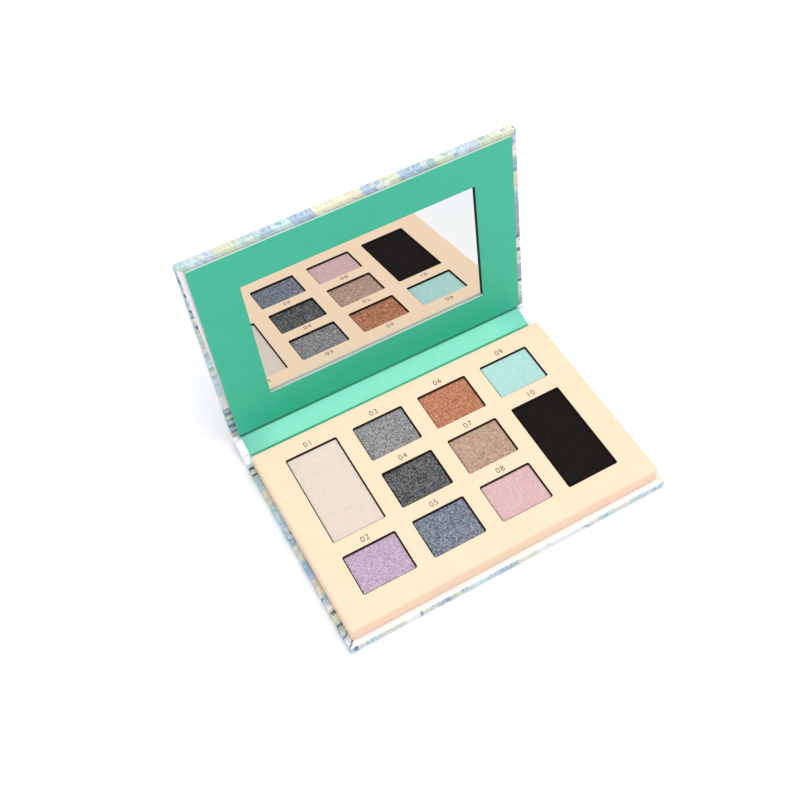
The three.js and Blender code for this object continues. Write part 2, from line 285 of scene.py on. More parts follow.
def powder(name, deep, body, bright, flake=0.36, sparkle=0.06, shimmer=0.3, roughness=0.5,
           tilt=0.5, contrast=1.0, cloud=0.25, specular=0.5, shade=None):
    """Pressed powder: grains of three tones with a few bright flakes among them, some of them
    metallic and tilted at random. flake is the size of a grain. shade darkens the tones under
    the warm filter."""
    deep, body, bright = (tinted(tone, shade) for tone in (deep, body, bright))
    s = Surface(name, Roughness=roughness, Specular_IOR_Level=specular)
    place = s.place()
    grain = s.node("TexVoronoi", {"Vector": place, "Scale": 1 / flake, "Randomness": 1.0})
    tone = s.node("SeparateColor", {0: grain.outputs["Color"]}).outputs
    fine = s.noise(place, flake * 0.7, 3, 0.7)
    level = s.math("ADD", s.math("MULTIPLY", tone[0], 0.62), s.math("MULTIPLY", fine, 0.38))
    level = s.math("ADD", s.math("MULTIPLY", s.math("SUBTRACT", level, 0.5), contrast), 0.5,
                   clamp=True)
    grains = s.ramp(level, [(0.12, deep), (0.5, body), (0.9, bright)])
    drift = s.mix(s.grey(s.noise(place, 9, 2), 0.0, cloud), grains, body)
    flakes = s.math("GREATER_THAN", tone[1], 1 - sparkle)
    s.to("Base Color", s.mix(s.math("MULTIPLY", flakes, 0.85), drift, bright))
    s.to("Metallic", s.math("MULTIPLY", s.math("GREATER_THAN", tone[2], 0.45), shimmer))
    s.to("Roughness", s.grey(tone[1], roughness + 0.1, max(roughness - 0.2, 0.12)))
    relief = s.bump(s.noise(place, flake, 3, 0.7), 0.05)
    lean = s.node("VectorMath", {0: grain.outputs["Color"], 1: (0.5, 0.5, 0.5)},
                  operation="SUBTRACT").outputs[0]
    lean = s.node("VectorMath", {0: lean, "Scale": tilt}, operation="SCALE").outputs[0]
    normal = s.node("VectorMath", {0: relief, 1: lean}, operation="ADD").outputs[0]
    normal = s.node("VectorMath", {0: normal}, operation="NORMALIZE").outputs[0]
    s.to("Normal", normal)
    return s.material


PLAIN = "fcf6f4"
BORDER = "f8f5fb"
PALETTE = ("a9cfd0", "7fb3b8", "e9e6c4", "c4dcec", "8fb4d8", "f1eef4", "cfd9b6", "6f8fb8",
           "bfe0e4", "e8dcc0", "b9c9e2", "f4f2ee")


STROKE = 8.0                 # usual width of a brush stroke along a wrapped edge
DARK_STROKE = 1.9
DEEP = "4a6b80"

# Print along each wrapped edge: colour of a thin wash over the random strokes, its strength,
# the share of narrow dark strokes, and where the random run begins
BASE_FRONT = ("dceaec", 0.2, 0.02, 3.0)
BASE_LEFT = ("93b4b6", 0.35, 0.13, 17.0)
BASE_RIGHT = ("d0dde0", 0.25, 0.08, 29.0)
LID_TOP = ("e0e4d0", 0.25, 0.02, 41.0)
LID_LEFT = ("a9b9c0", 0.3, 0.1, 53.0)
LID_RIGHT = ("d0d4cc", 0.25, 0.08, 67.0)


def printed(name, free_edge, sign, depth, front, left, right, plain):
    """Brush-stroke print on the wrap of one cover. The sheet's coordinates are its UVs, in
    mm / 100: U along the hinges, V from the spine hinge over the unfolded covers. free_edge is
    the free edge in V, and sign the direction of V towards it. The edges take their own
    strokes, which reach round onto the outer face. plain says which border is unprinted."""
    s = Surface(name, Roughness=0.42, Coat_Weight=0.12, Coat_Roughness=0.3)
    uv = s.node("UVMap", {}, uv_map="Sheet").outputs[0]
    flat = s.node("Mapping", {"Vector": uv, "Scale": (100, 100, 100)}).outputs[0]

    def wobbled(size, reach):
        wobble = s.node("TexNoise", {"Vector": flat, "Scale": 1 / size, "Detail": 4.0,
                                     "Roughness": 0.65}).outputs[1]
        wobble = s.node("VectorMath", {0: wobble, 1: (0.5, 0.5, 0.5)},
                        operation="SUBTRACT").outputs[0]
        wobble = s.node("VectorMath", {0: wobble, "Scale": reach}, operation="SCALE").outputs[0]
        return s.node("VectorMath", {0: flat, 1: wobble}, operation="ADD").outputs[0]

    warped = wobbled(2.2, 2.6)
    u, v = s.node("SeparateXYZ", {0: warped}).outputs[:2]
    u0, v0 = s.node("SeparateXYZ", {0: flat}).outputs[:2]

    # daubs of the outer face, small ones over large ones
    def daubs(wobble, width, height, shift):
        place = s.node("Mapping", {"Vector": wobbled(*wobble), "Location": shift,
                                   "Scale": (1 / width, 1 / height, 1)}).outputs[0]
        cell = s.node("TexVoronoi", {"Vector": place, "Scale": 1.0, "Randomness": 0.7},
                      distance="CHEBYCHEV", voronoi_dimensions="2D").outputs["Color"]
        pick, chance = s.node("SeparateColor", {0: cell}).outputs[:2]
        stops = [(i / len(PALETTE), rgb(c)) for i, c in enumerate(PALETTE)]
        return s.ramp(pick, stops, "CONSTANT"), chance

    color, _ = daubs((2.2, 1.8), 12.0, 8.0, (0, 0, 0))
    for width, height, shift, share in ((5.0, 9.0, (3.3, 7.1, 0), 0.4),
                                        (8.0, 3.5, (9.2, 1.7, 0), 0.3)):
        small, chance = daubs((1.6, 1.4), width, height, shift)
        color = s.mix(s.math("LESS_THAN", chance, share), color, small)

    def strokes(along, spec):
        """Strokes end to end in random colours, with narrow dark ones among them."""
        wash, strength, dark, begin = spec

        def run(width):
            place = s.math("ADD", s.math("DIVIDE", along, width), begin)
            cell = s.node("TexVoronoi", {"W": place, "Scale": 1.0},
                          voronoi_dimensions="1D").outputs["Color"]
            return s.node("SeparateColor", {0: cell}).outputs[0]

        stops = [(i / len(PALETTE), rgb(c)) for i, c in enumerate(PALETTE)]
        color = s.mix(strength, s.ramp(run(STROKE), stops, "CONSTANT"), rgb(wash))
        return s.mix(s.math("LESS_THAN", run(DARK_STROKE), dark), color, rgb(DEEP))

    half = CASE_WIDTH / 2
    past_free = s.math("SUBTRACT", s.math("MULTIPLY", v0, sign), free_edge * sign)
    past_left = s.math("SUBTRACT", s.math("MULTIPLY", u0, -1), half)
    past_right = s.math("SUBTRACT", u0, half)
    past_side = s.math("MAXIMUM", past_left, past_right)
    out = s.math("MULTIPLY", v, sign)
    if sign < 0:
        from_start = s.math("SUBTRACT", out, free_edge * sign - depth)
        across = s.math("ADD", u, half)
    else:
        from_start = s.math("SUBTRACT", free_edge * sign, out)
        across = s.math("SUBTRACT", half, u)
    at_side = at_free = 0.0
    if left:
        def reach(along):
            """Strokes of an edge end at random distances from it on the outer face."""
            cell = s.node("TexVoronoi", {"W": s.math("DIVIDE", along, 5.0), "Scale": 1.0},
                          voronoi_dimensions="1D").outputs["Color"]
            return s.grey(s.node("SeparateColor", {0: cell}).outputs[0], -0.8, -PRINT_REACH)

        # round the edges of the board the two kinds of edge meet on a mitre
        mitre = s.math("SUBTRACT", past_side,
                       s.math("MULTIPLY", s.math("LESS_THAN", past_side, 0.0), 1000.0))
        at_free = s.math("GREATER_THAN", past_free, s.math("MAXIMUM", reach(across), mitre))
        at_side = s.math("MULTIPLY", s.math("GREATER_THAN", past_side, reach(from_start)),
                         s.math("SUBTRACT", 1.0, at_free))
        on_left = s.math("LESS_THAN", u0, 0.0)
        sides = s.mix(on_left, strokes(from_start, right), strokes(from_start, left))
        color = s.mix(at_side, color, sides)
        color = s.mix(at_free, color, strokes(across, front))

    specks, chance = daubs((1.0, 0.8), 2.6, 2.2, (21.7, 5.3, 0))
    color = s.mix(s.math("MULTIPLY", s.math("LESS_THAN", chance, 0.22), 0.7), color, specks)

    # bristle marks, which cross a wrapped edge, and thin spots where the paper shows
    def bristle(scale, size):
        place = s.node("Mapping", {"Vector": wobbled(3.0, 0.8), "Scale": scale}).outputs[0]
        return s.node("TexNoise", {"Vector": place, "Scale": 1 / size, "Detail": 6.0,
                                   "Roughness": 0.72}).outputs[0]

    over_free = bristle((2.4, 0.28, 1), 1.1)
    over_side = bristle((0.28, 2.4, 1), 1.1)
    lean = s.math("ADD", 0.5, s.math("MULTIPLY", 0.5, s.math("SUBTRACT", at_free, at_side)))
    marks = s.node("Mix", {0: lean, 2: over_side, 3: over_free}).outputs[0]
    light = s.node("MapRange", {0: marks, 1: 0.52, 2: 0.64, 3: 0.0, 4: 0.7}).outputs[0]
    deep = s.node("MapRange", {0: marks, 1: 0.49, 2: 0.34, 3: 0.0, 4: 0.9}).outputs[0]
    shade = s.mix(0.9, color, color, "MULTIPLY")
    shade = s.mix(0.28, shade, rgb("3f6296"))
    color = s.mix(deep, color, shade)
    color = s.mix(light, color, rgb("f5f6fa"))

    # unprinted border
    if plain == "free":
        border = s.math("GREATER_THAN", past_free, s.math("MAXIMUM", past_side, EDGE))
        tint = PLAIN
    elif plain == "left":
        share = s.math("DIVIDE", from_start, LID_DEPTH, clamp=True)
        border = s.math("GREATER_THAN", past_left, s.grey(share, EDGE, EDGE + 3.4))
        tint = BORDER
    else:
        border = s.math("GREATER_THAN", past_side, -0.3)
        tint = BORDER
    s.to("Base Color", s.mix(border, color, rgb(tint)))
    s.to("Roughness", s.grey(marks, 0.36, 0.5))
    s.bump(s.noise(s.place(), 0.3, 3, 0.6), 0.006)
    return s.material


EDGE = 3.7 - 0.25            # sheet length from the outer arris to just past the inner one
PRINT_REACH = 10.0           # longest edge strokes on the outer face
print_base = printed("printed_paper_base", -BASE_END, -1, BASE_DEPTH, BASE_FRONT, BASE_LEFT,
                     BASE_RIGHT, "free")
print_lid = printed("printed_paper_lid", SPINE_LENGTH + LID_END, 1, LID_DEPTH, LID_TOP,
                    LID_LEFT, LID_RIGHT, "left")
print_spine = printed("printed_paper_spine", SPINE_LENGTH + LID_END, 1, LID_DEPTH, None, None,
                      None, "ends")
green_paper = paper("green_paper", "3ec5a2", "36bd9a", 0.5, tooth=0.008)
# Liner paper: the card's green paper made lighter, as painted light for the extra light and sheen
# that the spine and hinges catch.
liner_paper_painted_light = paper("liner_paper_painted_light", "89e8cf", "85e3c9", 0.5, tooth=0.008)
cream_paper = paper("cream_card", "fbdcbe", "f9d8b9", 0.55)
card_edge = board("card_cut_edge", "dfe2d8", "bcc2b6", 0.18)
# Dark cut edge. On the lid card only the side walls of the mirror window take it, and the other
# cut edges stay pale: painted shade. In the tray's windows it is partly a dark card core and
# partly painted shade in the gap round each pan.
dark_edge_painted_shade = board("window_edge_painted_shade", "30271f", "1a1411", 0.2)
grey_board = board("grey_board", "a39d92", "7f7a71", 0.8)
core_foam = foam("tray_core_foam", "33302d", "171513")
tape = film("adhesive_film", "e8e4d8")
# Pan metal made near black, not silver tin: painted shade, so that the rim reads as the dark gap
# round each cake.
pan_tin_painted_shade = metal("pan_tinplate_painted_shade", "2c2826", 0.4)
magnet_nickel = metal("magnet_nickel", "8c8e92", 0.3)
silver = mirror_silver("mirror_silver")
numeral_ink = ink("numeral_ink", "2a211c")

POWDERS = {
    "white": powder("powder_white", "e6d9cf", "ecdfd6", "f6efe9", 0.3, 0.03, 0.10, 0.42,
                    contrast=0.5, shade=0.89),
    "violet": powder("powder_violet", "a78fb4", "c3abcb", "e6d8ec", 0.42, 0.08, 0.2, 0.42,
                     contrast=1.1, shade=0.83),
    "smoky_grey": powder("powder_smoky_grey", "5d6168", "8d9199", "c9ccd2", 0.42, 0.12, 0.4,
                         0.4, contrast=1.75, shade=0.68),
    "dark_grey": powder("powder_dark_grey", "1f2226", "4c5056", "a9adb4", 0.5, 0.12, 0.45,
                        0.38, contrast=2.1, shade=0.44),
    "light_grey": powder("powder_light_grey", "454d5e", "74809a", "b9c4d8", 0.42, 0.12, 0.4,
                         0.38, contrast=1.8, shade=0.67),
    "light_brown": powder("powder_light_brown", "8f4a2b", "bb6f48", "e0a27e", 0.42, 0.1, 0.4,
                          0.4, contrast=1.7, shade=0.86),
    "light_coffee": powder("powder_light_coffee", "9c7563", "c09a88", "e6cfc0", 0.42, 0.1,
                           0.3, 0.4, contrast=1.15, shade=0.82),
    "light_pink": powder("powder_light_pink", "dba9b2", "eabfc7", "f8e2e6", 0.38, 0.06, 0.15,
                         0.42, contrast=0.8, shade=0.82),
    "light_blue": powder("powder_light_blue", "93d3d6", "aee3e4", "dcf6f4", 0.34, 0.05, 0.12,
                         0.42, contrast=0.5, shade=0.93),
    "black": powder("powder_black", "0e0a09", "16110f", "241d1b", 0.3, 0.0, 0.0, 0.9,
                    tilt=0.15, contrast=0.6, specular=0.12),
}


# ---- Meshes -------------------------------------------------------------------------------

def encloses(ring, point):
    """True if the closed 2D ring goes round the point."""
    inside = False
    for a, b in zip(ring, ring[1:] + ring[:1]):
        if (a.y > point.y) != (b.y > point.y):
            if point.x < (b.x - a.x) * (point.y - a.y) / (b.y - a.y) + a.x:
                inside = not inside
    return inside


class Build:
    """A mesh being put together from loops of points and filled faces."""

    def __init__(self):
        self.points, self.uvs, self.faces, self.slots = [], [], [], []

    def loop(self, points, uvs=None):
        first = len(self.points)
        self.points += [Vector(p) for p in points]
        self.uvs += [(p[0], p[1]) for p in (uvs or points)]
        return list(range(first, len(self.points)))

    def bridge(self, a, b, slot=0, closed=True, flip=False):
        count = len(a)
        for i in range(count if closed else count - 1):
            j = (i + 1) % count
            face = (a[i], a[j], b[j], b[i])
            self.faces.append(face[::-1] if flip else face)
            self.slots.append(slot)

    def loft(self, loops, slots=0, closed=True, flip=False):
        for i in range(len(loops) - 1):
            slot = slots[i] if isinstance(slots, (list, tuple)) else slots
            self.bridge(loops[i], loops[i + 1], slot, closed, flip)

    def fill(self, rings, up=True, slot=0, inside=()):
        """Flat fill between rings of vertices, through the extra vertices inside."""
        order = [i for ring in rings for i in ring] + list(inside)
        flat = [self.points[i].to_2d() for i in order]
        edges, at = [], 0
        for ring in rings:
            edges += [(at + i, at + (i + 1) % len(ring)) for i in range(len(ring))]
            at += len(ring)
        _, _, faces, origins, _, _ = delaunay_2d_cdt(flat, edges, [], 1, 1e-6)
        holes = [[self.points[i].to_2d() for i in ring] for ring in rings[1:]]
        for face in faces:
            ids = [order[origins[i][0]] for i in face]
            middle = sum((self.points[i].to_2d() for i in ids), Vector((0, 0))) / len(ids)
            if any(encloses(hole, middle) for hole in holes):
                continue
            a, b, c = (self.points[i] for i in ids[:3])
            upward = (b - a).to_2d().cross((c - a).to_2d()) > 0
            self.faces.append(ids if upward == up else ids[::-1])
            self.slots.append(slot)

    def face(self, ids, slot=0):
        self.faces.append(ids)
        self.slots.append(slot)

    def make(self, name, matrix, materials, body, replaces=()):
        mesh = bpy.data.meshes.new(name)
        mesh.from_pydata([matrix @ p / METRE for p in self.points], [], self.faces)
        layer = mesh.uv_layers.new(name="Sheet")
        for loop in mesh.loops:
            u, v = self.uvs[loop.vertex_index]
            layer.data[loop.index].uv = (u / 100, v / 100)
        for material in materials:
            mesh.materials.append(material)
        mesh.polygons.foreach_set("material_index", self.slots)
        mesh.polygons.foreach_set("use_smooth", [True] * len(mesh.polygons))
        mesh.update()
        piece = bpy.data.objects.new(name, mesh)
        bpy.context.scene.collection.objects.link(piece)
        if body:
            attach(piece, body)
        if replaces:
            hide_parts(*replaces)
        return piece


def rounded(x0, y0, x1, y1, radius, z, segments=7):
    """Anticlockwise points of a rectangle with round corners."""
    radius = max(radius, 0.03)
    corners = ((x1 - radius, y0 + radius, -90), (x1 - radius, y1 - radius, 0),
               (x0 + radius, y1 - radius, 90), (x0 + radius, y0 + radius, 180))
    points = []
    for x, y, start in corners:
        for i in range(segments + 1):
            a = math.radians(start + 90 * i / segments)
            points.append((x + radius * math.cos(a), y + radius * math.sin(a), z))
    return points


def inset(rect, radius, by, z, segments=7):
    x0, y0, x1, y1 = rect
    return rounded(x0 + by, y0 + by, x1 - by, y1 - by, radius - by, z, segments)


def quarter(radius, steps=4):
    """(across, down) of a rounded edge, from its flat top to its upright side."""
    return [(radius * (1 - math.sin(a)), radius * (1 - math.cos(a)))
            for a in (math.pi / 2 * i / steps for i in range(steps + 1))]


def harden(piece, thickness):
    """Gives an open sheet its thickness, inwards."""
    modifier = piece.modifiers.new("thickness", "SOLIDIFY")
    modifier.thickness = thickness / METRE
    modifier.offset = -1
    return piece


# ---- Wraps --------------------------------------------------------------------------------

def edge_profile():
    """(inset, z, sheet length beyond the outline) across a wrapped edge, from the outer face
    over the board edge to the end of the turn-in."""
    rows = [(1.2, -HALF_COVER, -1.2)]
    steps = 4
    for i in range(steps + 1):
        a = math.pi / 2 * i / steps
        rows.append((ARRIS * (1 - math.sin(a)), -HALF_COVER + ARRIS * (1 - math.cos(a)),
                     ARRIS * (a - math.pi / 2)))
    height = 2 * (HALF_COVER - ARRIS)
    for i in range(steps + 1):
        a = math.pi / 2 * i / steps
        rows.append((ARRIS * (1 - math.cos(a)), HALF_COVER - ARRIS * (1 - math.sin(a)),
                     height + ARRIS * a))
    last = height + ARRIS * math.pi / 2
    rows.append((1.2, HALF_COVER, last + 1.2 - ARRIS))
    rows.append((TURN_IN, HALF_COVER, last + TURN_IN - ARRIS))
    return rows


def cover_wrap(name, matrix, depth, sheet_v, flip_u, material, body, replaced):
    """Printed paper round three edges of a cover. sheet_v gives V from the distance to the
    hinge axis."""
    half = CASE_WIDTH / 2
    end = HALF_GAP + depth
    segments = 6
    corners = ((-1, 180, 90), (1, 90, 0))
    normals, starts = [(-1, 0)], [(-half, HALF_GAP)]
    steps = 12
    for i in range(1, steps):
        starts.append((-half, HALF_GAP + (depth - CASE_CORNER) * i / steps))
        normals.append((-1, 0))
    for side, a0, a1 in corners:
        for i in range(segments + 1):
            a = math.radians(a0 + (a1 - a0) * i / segments)
            starts.append((side * (half - CASE_CORNER) + CASE_CORNER * math.cos(a),
                           end - CASE_CORNER + CASE_CORNER * math.sin(a)))
            normals.append((math.cos(a), math.sin(a)))
    for i in range(steps - 1, -1, -1):
        starts.append((half, HALF_GAP + (depth - CASE_CORNER) * i / steps))
        normals.append((1, 0))

    def path(by, z):
        points = []
        radius = max(CASE_CORNER - by, 0.03)
        for (x, y), (nx, ny) in zip(starts, normals):
            if y > end - CASE_CORNER - 1e-6:
                side = -1 if x < 0 else 1
                points.append((side * (half - by - radius) + radius * nx,
                               end - by - radius + radius * ny, z))
            else:
                limit = end - by - radius
                points.append((x - by * nx, min(y, limit), z))
        return points

    build = Build()
    sign = -1 if flip_u else 1
    loops = []
    for by, z, beyond in edge_profile():
        uvs = [(sign * (x + nx * beyond), sheet_v(y + ny * beyond))
               for (x, y), (nx, ny) in zip(starts, normals)]
        loops.append(build.loop(path(by, z), uvs))
    build.loft(loops, closed=False, flip=True)
    # outer face
    rows = [(loops[0][i], loops[0][-1 - i]) for i in range(len(loops[0]) // 2)]
    for (a, d), (b, c) in zip(rows, rows[1:]):
        build.face((a, b, c, d))
    return build.make(name, matrix, [material], body, replaced)


def spine_wrap():
    half = CASE_WIDTH / 2
    profile = edge_profile()
    section = []
    for by, z, beyond in reversed(profile):
        section.append((-(half - by), z, -(half + beyond)))
    for by, z, beyond in profile:
        section.append((half - by, z, half + beyond))
    build = Build()
    loops = []
    rows = 4
    for i in range(rows + 1):
        y = HALF_GAP + (SPINE_END - HALF_GAP) * i / rows
        loops.append(build.loop([(x, y, z) for x, z, _ in section],
                                [(u, y) for _, _, u in section]))
    build.loft(loops, closed=False, flip=True)
    return build.make("spine_wrap_paper", SPINE, [print_spine], "spine",
                      ["spine_wrap"])


def smooth(t):
    t = min(max(t, 0.0), 1.0)
    return t * t * (3 - 2 * t)


def turned(y, z, angle):
    return Vector((y * math.cos(angle) - z * math.sin(angle),
                   y * math.sin(angle) + z * math.cos(angle)))


def hinge_strip(name, axis, sheet_v, angles, section, u_of, material, level):
    """Strip curved across a hinge as it lies at rest: its section in (x, z), swept from one board
    edge to the other. Each point lies where the blend at rest would leave it."""
    start = turned(-HALF_GAP, level, angles[0])
    end = turned(HALF_GAP, level, angles[1])
    line = end - start

    def rest(y, z):
        weight = smooth((y + HALF_GAP) / (2 * HALF_GAP))
        for _ in range(60):
            point = turned(y, z, angles[0] + weight * (angles[1] - angles[0]))
            weight = smooth((point - start).dot(line) / line.length_squared)
        return point

    build = Build()
    loops = []
    for i in range(HINGE_ROWS + 1):
        y = HALF_GAP * (2 * i / HINGE_ROWS - 1)
        points = []
        for x, z in section:
            point = rest(y, z)
            points.append((x, point.x, point.y))
        loops.append(build.loop(points, [(u, sheet_v + y) for u in u_of]))
    build.loft(loops, flip=True)
    build.face(loops[0][::-1])
    build.face(loops[-1])
    piece = build.make(name, Matrix.Translation(axis), [material], None)
    points = [(0, axis.y + p.x, axis.z + p.y) for p in (start, end)]
    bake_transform(piece)
    return piece


def outer_hinge(name, axis, sheet_v, angles):
    half = CASE_WIDTH / 2
    low, mid, high = -HALF_COVER, PAPER_FACE, HALF_COVER - 0.02
    section = [(-half + 0.1, low), (half - 0.1, low), (half, low + 0.1), (half, high - 0.1),
               (half - 0.1, high), (LINER_HALF + 0.05, high), (LINER_HALF + 0.05, mid),
               (-LINER_HALF - 0.05, mid), (-LINER_HALF - 0.05, high), (-half + 0.1, high),
               (-half, high - 0.1), (-half, low + 0.1)]
    us = [-half, half, half + 0.1, half + 3.4, half + 3.5, half + 7, half + 7, -half - 7,
          -half - 7, -half - 3.5, -half - 3.4, -half - 0.1]
    return hinge_strip(name, axis, sheet_v, angles, section, us, print_spine,
                       low)


def liner_hinge(name, axis, sheet_v, angles):
    x = LINER_HALF
    low, high = PAPER_FACE + 0.04, LINER_DIP
    section = [(-x, low), (x, low), (x, high), (-x, high)]
    return hinge_strip(name, axis, sheet_v, angles, section, [-x, x, x, -x],
                       liner_paper_painted_light, low)


def liner_path(start, end, fold_end=False):
    """(y, z) of a liner's upper face; it dips into the hinge at its start, and at its end too
    if that is folded."""
    bottom = LINER_DIP - LINER
    points = [(start, bottom)]
    for across, down in reversed(quarter(LINER_FOLD)):
        points.append((start + across, LINER_TOP - down))
    if fold_end:
        for across, down in quarter(LINER_FOLD):
            points.append((end - across, LINER_TOP - down))
        points.append((end, bottom))
    else:
        points.append((end, LINER_TOP))
    return points


def liner(name, matrix, path, body, replaced):
    build = Build()
    columns = 8
    loops = []
    for y, z in path:
        loops.append(build.loop([(LINER_HALF * (2 * i / columns - 1), y, z)
                                 for i in range(columns + 1)]))
    build.loft(loops, closed=False)
    piece = build.make(name, matrix, [liner_paper_painted_light], body, replaced)
    return harden(piece, LINER)


cover_wrap("base_wrap_paper", BASE, BASE_DEPTH, lambda y: -y, True, print_base, "base",
           ["base_wrap"])
cover_wrap("lid_wrap_paper", LID, LID_DEPTH, lambda y: SPINE_LENGTH + y, False, print_lid,
           "lid", ["lid_wrap"])
spine_wrap()
for piece in ("base_wrap_paper", "lid_wrap_paper", "spine_wrap_paper"):
    harden(bpy.data.objects[piece], PAPER)

near = HALF_GAP - LINER - LINER_CLEAR
liner("base_liner_paper", BASE, liner_path(near, BASE_LINER_END), "base",
      ["base_liner_tab"])
liner("spine_liner_paper", SPINE, liner_path(near, SPINE_LENGTH - near, True), "spine",
      ["spine_liner"])
liner("lid_liner_paper", LID, liner_path(near, LID_LINER_END), "lid",
      ["lid_liner_tab"])

HINGES = (("spine_hinge", spine_axis, 0.0, (0.0, SPINE_ANGLE), ("base", "spine")),
          ("lid_hinge", lid_axis, SPINE_LENGTH, (SPINE_ANGLE, LID_ANGLE), ("spine", "lid")))
for name, axis, sheet_v, angles, bodies in HINGES:
    outer_hinge(name + "_paper", axis, sheet_v, angles)
    liner_hinge(name + "_liner", axis, sheet_v, angles)


# ---- Tray ---------------------------------------------------------------------------------

def rect_of(node):
    low, high = (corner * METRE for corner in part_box(node))
    return (low.x, low.y, high.x, high.y), low.z, high.z


PAN_GAP = 0.35
CAKE_GROWTH = 0.2            # the thin rim leaves the powder this much more room than in CAD


def window_of(shade):
    rect, _, _ = rect_of("pan_" + shade)
    return tuple(value + grow for value, grow in
                 zip(rect, (-PAN_GAP, -PAN_GAP, PAN_GAP, PAN_GAP)))


def tray_cover():
    rect, bottom, top = rect_of("tray_cover")
    build = Build()
    outer = [(2.0, top), (TRAY_ARRIS + 0.3, top)]
    outer += [(across, top - down) for across, down in quarter(TRAY_ARRIS, 5)]
    outer += [(0.0, top - 3), (0.0, bottom + 0.5), (0.0, bottom), (TRAY_CARD, bottom),
              (TRAY_CARD, bottom + 0.3), (TRAY_CARD, top - TRAY_CARD - 0.1),
              (TRAY_CARD + 0.1, top - TRAY_CARD)]
    loops = [build.loop(inset(rect, TRAY_CORNER, by, z, 10)) for by, z in outer]
    build.loft(loops, flip=True)
    holes_top, holes_under = [], []
    for shade in SHADES:
        hole = [(-0.9, top), (-WINDOW_ARRIS - 0.12, top)]
        hole += [(-across, top - down) for across, down in quarter(WINDOW_ARRIS, 3)]
        hole += [(0.0, top - 0.45), (0.0, top - TRAY_CARD + 0.05), (0.0, top - TRAY_CARD)]
        # window walls take the dark edge: partly a dark card core, partly painted shade round the
        # pan
        slots = [0] * 4 + [1] * (len(hole) - 5)
        rings = [build.loop(inset(window_of(shade), WINDOW_CORNER, by, z)) for by, z in hole]
        build.loft(rings, slots)
        holes_top.append(rings[0])
        holes_under.append(rings[-1])
    build.fill([loops[0]] + holes_top, True)
    build.fill([loops[-1]] + holes_under, False, 1)
    return build.make("tray_cover_card", WORLD, [cream_paper, dark_edge_painted_shade], "base",
                      ["tray_cover"])


def pan(shade):
    rect, bottom, top = rect_of("pan_" + shade)
    build = Build()
    rows = [(0.5, bottom), (0.35, bottom), (0.1, bottom + 0.1), (0.0, bottom + 0.35),
            (0.0, top - 0.08), (0.02, top - 0.02), (0.06, top), (0.1, top - 0.02),
            (0.12, top - 0.08), (0.12, bottom + 0.5), (0.3, bottom + 0.3), (0.6, bottom + 0.3)]
    loops = [build.loop(inset(rect, WINDOW_CORNER - PAN_GAP + 0.25, by, z))
             for by, z in rows]
    build.loft(loops)
    build.fill([loops[0]], False)
    build.fill([loops[-1]], True)
    build.make("pan_%s_tin" % shade, WORLD, [pan_tin_painted_shade], "base", ["pan_" + shade])


def cake(shade):
    """Pressed powder with an eased edge and the faint waves of the press."""
    rect, bottom, top = rect_of("powder_" + shade)
    rect = tuple(value + grow * CAKE_GROWTH for value, grow in zip(rect, (-1, -1, 1, 1)))
    build = Build()
    rows = [(0.2, bottom), (0.0, bottom + 0.2), (0.0, top - 0.3), (0.03, top - 0.14),
            (0.12, top - 0.05), (0.3, top - 0.01), (0.6, top)]
    loops = [build.loop(inset(rect, 0.6, by, z)) for by, z in rows]
    build.loft(loops)
    build.fill([loops[0]], False)
    x0, y0, x1, y1 = rect
    step, inside = 1.1, []
    columns, lines = int((x1 - x0 - 2.4) / step), int((y1 - y0 - 2.4) / step)
    for i in range(columns + 1):
        for j in range(lines + 1):
            x = x0 + 1.2 + (x1 - x0 - 2.4) * i / columns
            y = y0 + 1.2 + (y1 - y0 - 2.4) * j / lines
            wave = noise.noise(Vector((x * 0.22, y * 0.22, 0.5)))
            inside.append((x, y, top + 0.02 * wave))
    build.fill([loops[-1]], True, 0, build.loop(inside))
    build.make("powder_%s_cake" % shade, WORLD, [POWDERS[shade]], "base",
               ["powder_" + shade])


def numerals():
    """Printed numbers, one behind each window, as one piece."""
    parts = []
    for number, shade in enumerate(SHADES, 1):
        x0, _, x1, y1 = window_of(shade)
        curve = bpy.data.curves.new("numeral", "FONT")
        curve.body = "%02d" % number
        curve.size = NUMERAL_SIZE / METRE
        curve.align_x = "CENTER"
        curve.align_y = "CENTER"
        curve.extrude = NUMERAL_RAISE / METRE
        curve.space_character = NUMERAL_SPACING
        text = bpy.data.objects.new("numeral", curve)
        bpy.context.scene.collection.objects.link(text)
        text.location = Vector(((x0 + x1) / 2, y1 + NUMERAL_GAP,
                                TRAY_TOP + NUMERAL_LIFT)) / METRE
        parts.append(text)
    bpy.context.view_layer.update()
    graph = bpy.context.evaluated_depsgraph_get()
    vertices, faces = [], []
    for text in parts:
        mesh = bpy.data.meshes.new_from_object(text.evaluated_get(graph))
        first = len(vertices)
        vertices += [text.matrix_world @ v.co for v in mesh.vertices]
        faces += [[first + i for i in p.vertices] for p in mesh.polygons]
        bpy.data.objects.remove(text)
    mesh = bpy.data.meshes.new("tray_numerals")
    mesh.from_pydata(vertices, [], faces)
    mesh.materials.append(numeral_ink)
    piece = bpy.data.objects.new("tray_numerals", mesh)
    bpy.context.scene.collection.objects.link(piece)
    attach(piece, "base")


tray_cover()
for shade in SHADES:
    pan(shade)
    cake(shade)
numerals()


# ---- Lid ----------------------------------------------------------------------------------

CARD_START = 2.7
CARD_END = 98.7
CARD_HALF = 74.0
CARD_BOTTOM = 2.15
CARD_TOP = 3.1
CARD_FOOT = 1.88             # lowest reach of the sides of the card
WINDOW_HALF = 54.75
WINDOW_START = 19.5
WINDOW_END = 81.5


